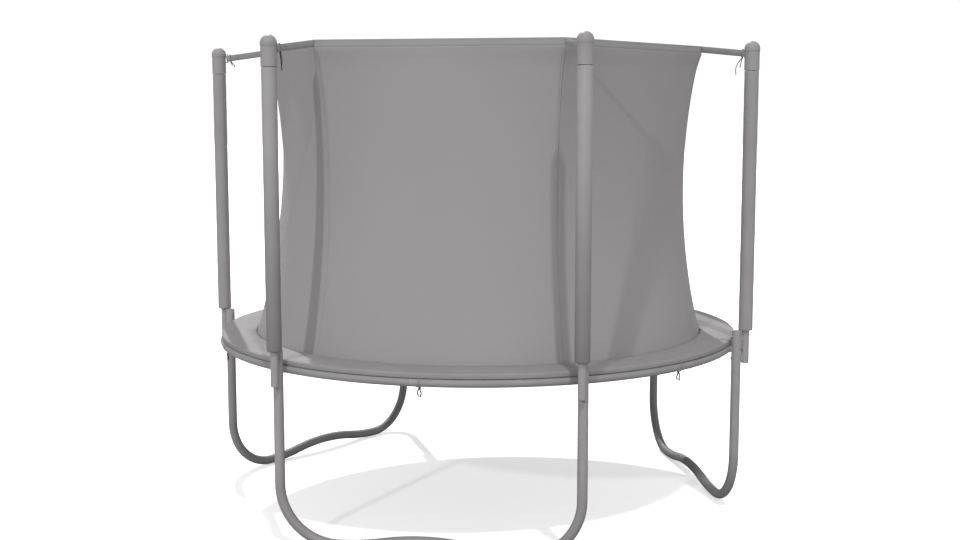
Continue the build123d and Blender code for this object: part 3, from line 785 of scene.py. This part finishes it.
def make_cap_cords():
    """A doubled cord cinched round each strap, with a knot under it and two loose tails."""
    cord = Shell()
    for index, (swing_a, drop_a, swing_b, drop_b) in enumerate(CAP_TAILS):
        bar, _, along, side, up = strap_axes(index)
        half, bow = STRAP_WIDTH / 2 + 0.0006, 0.0030
        for turn in (-0.0013, 0.0013):
            spot = bar + along * (CINCH + turn)
            ring = [
                (bow, -half), (bow * 1.1, 0), (bow, half), (0, half + bow * 0.8),
                (-bow, half), (-bow * 1.1, 0), (-bow, -half), (0, -half - bow * 0.8),
            ]
            loop = smooth([spot + side * x + up * z for x, z in ring], 6, closed=True)
            cord.cord(loop, 0.0012, 8, closed=True)
        knot = bar + along * CINCH - up * (half + bow + 0.0030)
        twist = placed(knot_path(0.0042), along, UP, side)
        cord.cord(knot + twist, 0.0015, 7, closed=True)
        for sign, swing, drop in ((1, swing_a, drop_a), (-1, swing_b, drop_b)):
            tail = [
                knot + side * sign * 0.001,
                knot + along * swing * 0.45 + side * sign * 0.004 - UP * drop * 0.25,
                knot + along * swing * 0.85 + side * sign * 0.006 - UP * drop * 0.62,
                knot + along * swing * 0.92 + side * sign * 0.003 - UP * drop,
            ]
            cord.cord(smooth(tail, 7), 0.0018, 7)
            cord.cord([tail[-1] + UP * 0.003, tail[-1] - UP * 0.0022], 0.0024, 8)
    cord.build("cap_cords", "cord", ["cap_ties"])


def pad_tie_bearings():
    bearings = sorted(bearing_of(spot) for spot in UPRIGHTS)
    return [(a + b) / 2 for a, b in zip(bearings, bearings[1:] + [bearings[0] + 360])]


def make_pad_cords():
    cord, sling = Shell(), Shell()
    swing = RING_TUBE + 0.0022
    for index, bearing in enumerate(pad_tie_bearings()):
        out, side = outward(bearing), sideways(bearing)
        middle = at(RING_RADIUS, bearing, RING_MIDDLE)
        turns = np.radians(np.arange(18, -199, -14))
        arc = [middle + out * swing * np.cos(a) + UP * swing * np.sin(a) for a in turns]
        edge = at(PAD_OUTER + 0.0012, bearing, PAD_UNDERSIDE + 0.008)
        tucked = middle - out * (PAD_OUTER - RING_RADIUS) + UP * (PAD_UNDERSIDE - RING_MIDDLE - 0.001)
        sling.cord([edge, *arc, tucked], 0.0014, 8)
        knot = middle - UP * (swing + 0.0040)
        twist = placed(knot_path(0.0052), side, UP, out)
        cord.cord(knot + twist, 0.0024, 7, closed=True)
        for sign in (-1, 1):
            bow = 0.004 + 0.003 * ((index + sign) % 3)
            tail = [
                knot,
                knot + side * sign * bow - UP * 0.010 + out * 0.003,
                knot + side * sign * (bow + 0.002) - UP * 0.020,
                knot + side * sign * bow * 0.7 - UP * (0.030 + 0.003 * sign) + out * 0.002,
            ]
            cord.cord(smooth(tail, 6), 0.0026, 7)
            cord.cord([tail[-1] + UP * 0.0025, tail[-1] - UP * 0.002], 0.0032, 8)
    cord.build("pad_cords", "cord", ["pad_ties"])
    sling.build("pad_slings", "cord", look=LOOKS["webbing"])


# --- foam sleeves ---


def make_sleeves():
    outer = (SLEEVE_HIGH.x - SLEEVE_LOW.x) / 2
    inner = 0.0174
    low, high = SLEEVE_LOW.z, SLEEVE_HIGH.z - 0.0004
    sides = 56
    for index, (side, pole) in enumerate(zip(SIDES, POLES)):
        sleeve = Shell()
        facing = bearing_of((pole - UPRIGHTS[index]).xy) + 180
        angles = np.arange(sides) * 2 * pi / sides
        slit = np.exp(-((np.minimum(angles, 2 * pi - angles) / 0.05) ** 2))
        middle = np.linspace(low + 0.010, high - 0.010, 70)
        profile = [
            (inner, low + 0.001), (outer - 0.0030, low), (outer - 0.0008, low + 0.0008),
            (outer, low + 0.0030),
            *((outer, z) for z in middle),
            (outer, high - 0.0030), (outer - 0.0008, high - 0.0008), (outer - 0.0030, high),
            (inner, high - 0.001),
        ]
        rows = []
        for radius, height in profile:
            soft = 0.0 if radius < outer - 0.0015 else 1.0
            near_foot = np.exp(-(height - low) / 0.05)
            ripple = 0.0003 * np.sin(height * 61 + 2 * angles + index)
            flare = 0.0005 * near_foot * np.sin(3 * angles + index)
            reach_out = radius + soft * (ripple + flare - 0.0016 * slit)
            turn = np.radians(facing) + angles
            x, y = pole.x + reach_out * np.sin(turn), pole.y - reach_out * np.cos(turn)
            rows.append(np.stack([x, y, np.full(sides, height)], 1))
        across = list(angles * outer) + [2 * pi * outer]
        along = [height for _, height in profile] + [high]
        sleeve.grid(rows, across, along, wrap_across=True)
        # the front sleeves take the foam with painted shade low and painted light high
        look = FRONT_FOAM_PAINTED_SHADE if side.startswith("front") else LOOKS["sleeve_foam"]
        sleeve.build(f"foam_wrap_{side}", "sleeve_foam", [f"foam_sleeve_{side}"], look=look)


# --- jumping mat ---


def make_mat():
    """The woven sheet: flat, dipping very slightly at its edge between the springs."""
    sheet = Shell()
    thick = 0.0018
    edge = HEM_RADIUS - 0.003
    under_hem = [MAT_RADIUS, (MAT_RADIUS + edge) / 2, edge]
    rings = np.concatenate([[0.0002], np.linspace(0.03, MAT_RADIUS - 0.02, 44), under_hem])
    bearings = np.arange(0, 360, 1.875)
    rows = []
    pulls = 0.0004 * np.cos(np.radians((bearings - FIRST_SPRING) * SPRINGS))
    for lift, radii in ((0.0, rings), (-thick, rings[::-1])):
        for radius in radii:
            tug = pulls * (radius / MAT_RADIUS) ** 24
            rows.append([at(radius, b, lift - 0.0003 + min(0, t)) for b, t in zip(bearings, tug)])
    across = list(np.radians(bearings)) + [2 * pi]
    along = list(np.concatenate([rings, rings[::-1]])) + [0.0]
    sheet.grid(rows, across, along, wrap_across=True, wrap_rows=True)
    piece = sheet.build("mat_sheet", "mat_fabric", ["jumping_mat"], body=None)
    inwards = np.clip((MAT_RADIUS - reach(piece)) / MAT_RADIUS, 0, 1)
    blend_by(piece)


def make_hem():
    """Webbing folded over the mat's edge, with four rows of stitches."""
    hem, thread = Shell(), Shell()
    width = HEM_RADIUS - MAT_RADIUS
    bearings = np.arange(0, 360, 1.25)
    top, low = HEM_HIGH + 0.0004, HEM_LOW - 0.0014
    middle = (MAT_RADIUS + HEM_RADIUS) / 2
    path = np.array([at(middle, b, (top + low) / 2) for b in bearings])
    outs = np.array([outward(b) for b in bearings])
    hem.sweep(path, outs, UP, slab(width - 0.001, top - low), closed=True)
    hem.build("mat_hem_webbing", "webbing", ["mat_hem"], body="mat_edge")
    loop = np.append(bearings, 360)
    for radius in (MAT_RADIUS + 0.003, MAT_RADIUS + 0.011, HEM_RADIUS - 0.011, HEM_RADIUS - 0.003):
        line = [at(radius, b, top + 0.0001) for b in loop]
        thread.stitches(line, UP, 0.006, 0.0005)
    thread.build("mat_hem_stitches", "cord", body="mat_edge", look=THREAD)


def turned(spots, bearing):
    """Points in a spring's own axes, x outward and z up, moved to its bearing."""
    return placed(np.asarray(spots, float), outward(bearing), sideways(bearing), UP)


RING_WIRE = 0.002
RING_TIP = 1.050


def make_hem_loops():
    tab, thread = Shell(), Shell()
    level = RING_MIDDLE
    wrap = RING_WIRE + 0.0009
    curve = smooth([
        (0.997, 0, 0.0026), (1.008, 0, 0.0028), (1.017, 0, wrap), (1.024, 0, wrap),
        (1.0263, 0, wrap * 0.7), (1.024 + wrap, 0, 0), (1.0263, 0, -wrap * 0.7),
        (1.024, 0, -wrap), (1.017, 0, -wrap), (1.008, 0, -0.0034), (0.997, 0, -0.0034),
    ], 4)
    for bearing in SPRING_BEARINGS:
        path = turned(curve + (0, 0, level), bearing)
        side = sideways(bearing)
        tab.sweep(path, side, np.cross(headings(path), side), slab(0.024, 0.0012))
        for y in (-0.009, 0.0, 0.009):
            line = turned([(0.999, y, level + 0.0034), (1.011, y, level + 0.0036)], bearing)
            thread.stitches(line, UP, 0.003, 0.0005)
    tab.build("hem_tabs", "webbing", ["hem_loops"], body="mat_edge")
    thread.build("hem_tab_stitches", "cord", body="mat_edge", look=THREAD)


def make_springs():
    """Close-wound wire springs, each hooked over its triangular ring and into the frame ring."""
    coil_start, coil_end, wire = 1.066, 1.158, 0.0016
    reach_radius = 0.009 - wire
    lift = RING_WIRE + wire + 0.0006
    turns = 27
    tip = RING_RADIUS - RING_TUBE + 0.006
    angles = np.radians(np.arange(250, 89, -16))
    hook = [(RING_TIP + np.cos(a) * lift, 0, np.sin(a) * lift) for a in angles]
    t = np.linspace(0, 1, turns * 9 + 1)
    angle = pi / 2 + t * turns * 2 * pi
    grow = np.clip(np.minimum(t, 1 - t) * turns * 2, 0, 1)
    radius = lift + (reach_radius - lift) * grow
    out = coil_start + (coil_end - coil_start) * t
    coil = np.stack([out, radius * np.cos(angle), radius * np.sin(angle)], 1)
    bend = [
        (coil_end + 0.004, 0, 0.0012), (coil_end + 0.010, 0, 0), (tip - 0.003, 0, 0),
        (tip - 0.0006, 0, -0.001), (tip, 0, -0.004), (tip, 0, -0.008),
    ]
    path = np.vstack([hook, [(RING_TIP + 0.006, 0, lift)], coil, bend]) + (0, 0, RING_MIDDLE)
    spring = Shell()
    for bearing in SPRING_BEARINGS:
        spring.cord(turned(path, bearing), wire, 6)
    piece = spring.build("coil_springs", "zinc_hardware", ["springs"], body=None)
    share = (tip - reach(piece)) / (tip - RING_TIP)
    blend_by(piece)


def make_lacing():
    """A cord that ties the net's foot to the triangular rings, dipping under each bar twice."""
    knots = []
    high, low = (1.0345, NET_LOW + 0.003), (1.0225, RING_MIDDLE - 0.0038)
    for bearing in SPRING_BEARINGS:
        for shift, (radius, height) in (
            (-3.75, high), (-1.7, (1.031, 0.003)), (-1.0, low), (-0.4, (1.031, 0.0035)),
            (0.0, high), (0.4, (1.031, 0.0035)), (1.0, low), (1.7, (1.031, 0.003)),
        ):
            knots.append(at(radius, bearing + shift, height))
    cord = Shell()
    cord.cord(smooth(knots, 3, closed=True), 0.0012, 7, closed=True)
    cord.build("foot_lacing", "cord", ["net_lacing"], body="mat_edge")


# --- pad ---

PAD_EDGE = 0.008                # radius of the pad's rolled upper edges
PAD_CROWN = 0.0042              # how far the pad's middle stands above those edges
PAD_SEAMS = [bearing_of(spot) for spot in UPRIGHTS]
PAD_LIP = 0.0035                # how far the inner edge leans in to the net
SEAM_WIDTH = 0.11               # degrees over which a seam sinks


def pad_bearings():
    """Every degree, and closer beside each radial seam."""
    shifts = (-0.5, -0.3, -0.18, -0.09, 0.0, 0.09, 0.18, 0.3, 0.5)
    spots = [
        b for b in np.arange(0, 360, 1.0)
        if min(abs(apart(b, seam)) for seam in PAD_SEAMS) > 0.7
    ]
    spots += [seam + shift for seam in PAD_SEAMS for shift in shifts]
    return sorted(b % 360 for b in spots)


def pad_profile(bearing):
    """The cover's closed section at one bearing, as (radius, height) points, and the crown's span."""
    inner, outer, low = PAD_INNER - PAD_LIP, PAD_OUTER, PAD_UNDERSIDE
    shoulder = PAD_TOP - PAD_CROWN
    gather = 0.0005 * sin(radians(bearing * 72)) + 0.0004 * sin(radians(bearing * 115 + 40))
    bend = [(PAD_EDGE * (1 - cos(a)), PAD_EDGE * (1 - sin(a))) for a in np.radians((0, 30, 60, 90))]
    side = (low + shoulder) / 2 - 0.004
    points = [(inner + 0.012, low), (inner + 0.002, low)]
    points += [(inner, low + 0.0020), (inner + 0.0008, side)]
    points += [(inner + x, shoulder - z) for x, z in bend]
    first = len(points)
    start, end = inner + PAD_EDGE, outer - PAD_EDGE
    for share in np.linspace(0, 1, 16)[1:-1]:
        swell = 1 - (2 * share - 1) ** 2
        wave = 0.0006 * sin(radians(bearing * 23) + 5 * share) * swell
        rise = (PAD_TOP - shoulder - 0.0012) * swell
        points.append((start + (end - start) * share, shoulder + rise + wave))
    last = len(points)
    points += [(outer - x + gather * (z > 0), shoulder - z) for x, z in bend[::-1]]
    points += [(outer - 0.0008 + gather, side), (outer, low + 0.0020)]
    points += [(outer - 0.002, low), (outer - 0.012, low)]
    points += [(outer + (inner - outer) * share, low) for share in (0.3, 0.5, 0.7)]
    return points, first, last


def pad_seam_depth(bearing):
    return max(np.exp(-(apart(bearing, seam) / SEAM_WIDTH) ** 2) for seam in PAD_SEAMS)


def puff(piece, pinned, pressure, limit, frames=16):
    """Blow the piece up by cloth simulation between its pinned points, moving none past limit."""
    scene = bpy.context.scene
    rest = spots_of(piece.data)
    group = piece.vertex_groups.new(name="pinned")
    group.add(pinned, 1.0, "REPLACE")
    cloth = piece.modifiers.new("cloth", "CLOTH")
    cloth.settings.quality = 4
    cloth.settings.vertex_group_mass = group.name
    cloth.settings.use_pressure = True
    cloth.settings.uniform_pressure_force = pressure
    cloth.settings.effector_weights.gravity = 0.0
    cloth.collision_settings.use_collision = False
    for number in range(1, frames + 1):
        scene.frame_set(number)
    moved = spots_of(piece.evaluated_get(bpy.context.evaluated_depsgraph_get()).data)
    piece.modifiers.remove(cloth)
    piece.vertex_groups.remove(group)
    scene.frame_set(1)
    shift = moved - rest
    size = np.maximum(np.linalg.norm(shift, axis=1, keepdims=True), 1e-9)
    shift *= np.minimum(1.0, limit / size)
    piece.data.vertices.foreach_set("co", (rest + shift).ravel())
    piece.data.update()


def make_pad():
    """The stuffed cover: sewn along both upper edges and at six radial seams, puffed between."""
    cover = Shell()
    bearings = pad_bearings()
    _, first, last = pad_profile(0)
    rows, pinned = [], []
    for number, bearing in enumerate(bearings):
        profile, _, _ = pad_profile(bearing)
        sink = 0.0016 * pad_seam_depth(bearing)
        sinks = [sink if first - 2 <= i < last + 2 else 0 for i in range(len(profile))]
        rows.append([at(r, bearing, z - s) for (r, z), s in zip(profile, sinks)])
        on_seam = pad_seam_depth(bearing) > 0.5
        size = len(profile)
        pinned += [number * size + i for i in range(size) if on_seam or not first <= i < last]
    points, _, _ = pad_profile(0)
    loop = np.array(points + points[:1])
    along = [radians(b) for b in bearings] + [2 * pi]
    cover.grid(rows, measured(loop), along, wrap_rows=True, wrap_across=True)
    piece = cover.build("pad_skin", "pad_vinyl", ["pad_cover", "pad_backing", "pad_foam"])
    puff(piece, pinned, 3.0, 0.0022)
    thread = Shell()
    middle, reach_out = (PAD_INNER + PAD_OUTER) / 2, (PAD_OUTER - PAD_INNER) / 2
    for seam in PAD_SEAMS:
        for shift in (-0.05, 0.05):
            radii = np.linspace(PAD_INNER + 0.012, PAD_OUTER - 0.012, 30)
            drops = 0.0022 + 0.004 * ((radii - middle) / reach_out) ** 2
            line = [at(r, seam + shift, PAD_TOP - drop) for r, drop in zip(radii, drops)]
            thread.stitches(line, UP, 0.005, 0.0005)
    for radius in (PAD_INNER - PAD_LIP + PAD_EDGE, PAD_OUTER - PAD_EDGE):
        line = [at(radius, b, PAD_TOP - PAD_CROWN + 0.0001) for b in bearings + bearings[:1]]
        thread.stitches(line, UP, 0.006, 0.0005)
    thread.build("pad_stitches", "cord", look=THREAD)


# --- zip ---

TAPE_WIDTH, TAPE_MIDDLE = 0.0148, 0.0078
TOOTH, TOOTH_PITCH = (0.0019, 0.0009, 0.0014), 0.0021


def make_zip():
    tree = surface("zip_tape")
    heights = np.linspace(ZIP_LOW + 0.0008, ZIP_HIGH - 0.0008, 120)
    out, side = outward(ENTRANCE), sideways(ENTRANCE)
    path = np.array([np.array(tree.ray_cast(Vector((0, 0, z)), Vector(out))[0]) for z in heights])
    normals = np.cross(side, headings(path))
    cloth, thread, teeth = Shell(), Shell(), Shell()
    for sign in (-1, 1):
        tape = path + side * sign * TAPE_MIDDLE + normals * 0.0005
        cloth.sweep(tape, side, normals, slab(TAPE_WIDTH, 0.0010))
        stitches = path + side * sign * 0.0105 + normals * 0.0010
        thread.stitches(stitches, normals, 0.0035, 0.0004)
    lengths = measured(path)
    square = ((-1, -1), (1, -1), (1, 1), (-1, 1))
    block = np.array([(x, y, 0) for x, y in square] + [(x * 0.8, y * 0.8, 1) for x, y in square])
    faces = [(0, 3, 2, 1), (4, 5, 6, 7), (0, 1, 5, 4), (1, 2, 6, 5), (2, 3, 7, 6), (3, 0, 4, 7)]
    for number, mark in enumerate(np.arange(0.004, lengths[-1] - 0.004, TOOTH_PITCH)):
        spot, normal = between(path, lengths, mark), between(normals, lengths, mark)
        up = np.cross(normal, side)
        sign = 1 if number % 2 else -1
        shape = block * TOOTH + (sign * 0.0010, 0, 0.0009)
        teeth.add(spot + placed(shape, side, up, normal), faces)
    cloth.build("zip_tapes", "zip_fabric", ["zip_tape"])
    thread.build("zip_stitches", "cord", look=THREAD)
    teeth.build("zip_teeth", "moulded_plastic")


make_net()
make_net_seams()
make_net_foot()
make_band()
make_straps()
make_cap_cords()
make_pad_cords()
make_sleeves()
make_mat()
make_hem()
make_hem_loops()
make_springs()
make_lacing()
make_pad()
make_zip()

# --- floor, light and camera ---

# each pair is what the camera sees, then what light that bounces meets
SKY = (1.05, 0.43)
FLOOR_TONE = (0.9, 0.42)
FLOOR_GLOW = (0.55, 0.0)
# name, bearing and elevation it shines from, strength, width in degrees
SUNS = (
    ("key", -28, 26.5, 0.79, 2.0),
    ("fill", 14.6, 57.5, 0.97, 2.0),
    ("back", -165, 45, 2.05, 1.0),
)
# fitted to the photo: sensor and lens in mm, angles in degrees
SENSOR, LENS = 36.0, 49.7
CAMERA_SPOT = (0.0004, -6.276, GROUND + 1.814)
CAMERA_DIP, CAMERA_TURN = 6.97, -0.07


def camera_switch(tree, tones):
    """A value that is one thing to the camera and another to light that bounces."""
    seen, unseen = tones
    value = tree.nodes.new("ShaderNodeMapRange")
    value.inputs["To Min"].default_value = unseen
    value.inputs["To Max"].default_value = seen
    ray = tree.nodes.new("ShaderNodeLightPath")
    tree.links.new(ray.outputs["Is Camera Ray"], value.inputs["Value"])
    return value.outputs[0]


def make_floor():
    mesh = bpy.data.meshes.new("floor")
    far, level = 60.0, GROUND - 0.0005
    corners = [(-far, -far, level), (far, -far, level), (far, far, level), (-far, far, level)]
    mesh.from_pydata(corners, [], [(0, 1, 2, 3)])
    floor = linked("floor", mesh)
    material = bpy.data.materials.new("pale_floor")
    material.use_nodes = True
    tree = material.node_tree
    shader = tree.nodes["Principled BSDF"]
    tone = tree.nodes.new("ShaderNodeCombineColor")
    for channel in range(3):
        tree.links.new(camera_switch(tree, FLOOR_TONE), tone.inputs[channel])
    tree.links.new(tone.outputs[0], shader.inputs["Base Color"])
    tree.links.new(camera_switch(tree, FLOOR_GLOW), shader.inputs["Emission Strength"])
    shader.inputs["Roughness"].default_value = 0.9
    shader.inputs["Specular IOR Level"].default_value = 0.0
    shader.inputs["Emission Color"].default_value = (1, 1, 1, 1)
    mesh.materials.append(material)


def make_world():
    world = bpy.data.worlds.new("studio")
    bpy.context.scene.world = world
    world.use_nodes = True
    tree = world.node_tree
    background = tree.nodes["Background"]
    background.inputs["Color"].default_value = (1, 1, 1, 1)
    tree.links.new(camera_switch(tree, SKY), background.inputs["Strength"])


def make_sun(name, bearing, elevation, energy, softness):
    data = bpy.data.lights.new(name, "SUN")
    data.energy, data.angle = energy, radians(softness)
    lamp = linked(name, data)
    toward = outward(bearing) * cos(radians(elevation)) + UP * sin(radians(elevation))
    lamp.rotation_mode = "QUATERNION"
    lamp.rotation_quaternion = Vector(-toward).to_track_quat("-Z", "Y")


def make_camera():
    data = bpy.data.cameras.new("camera")
    data.lens, data.sensor_width, data.clip_end = LENS, SENSOR, 200.0
    camera = linked("camera", data)
    camera.location = CAMERA_SPOT
    camera.rotation_euler = (radians(90 - CAMERA_DIP), 0, radians(CAMERA_TURN))
    bpy.context.scene.camera = camera


make_floor()
make_world()
for sun in SUNS:
    make_sun(*sun)
make_camera()
bpy.context.scene.view_settings.view_transform = "Standard"
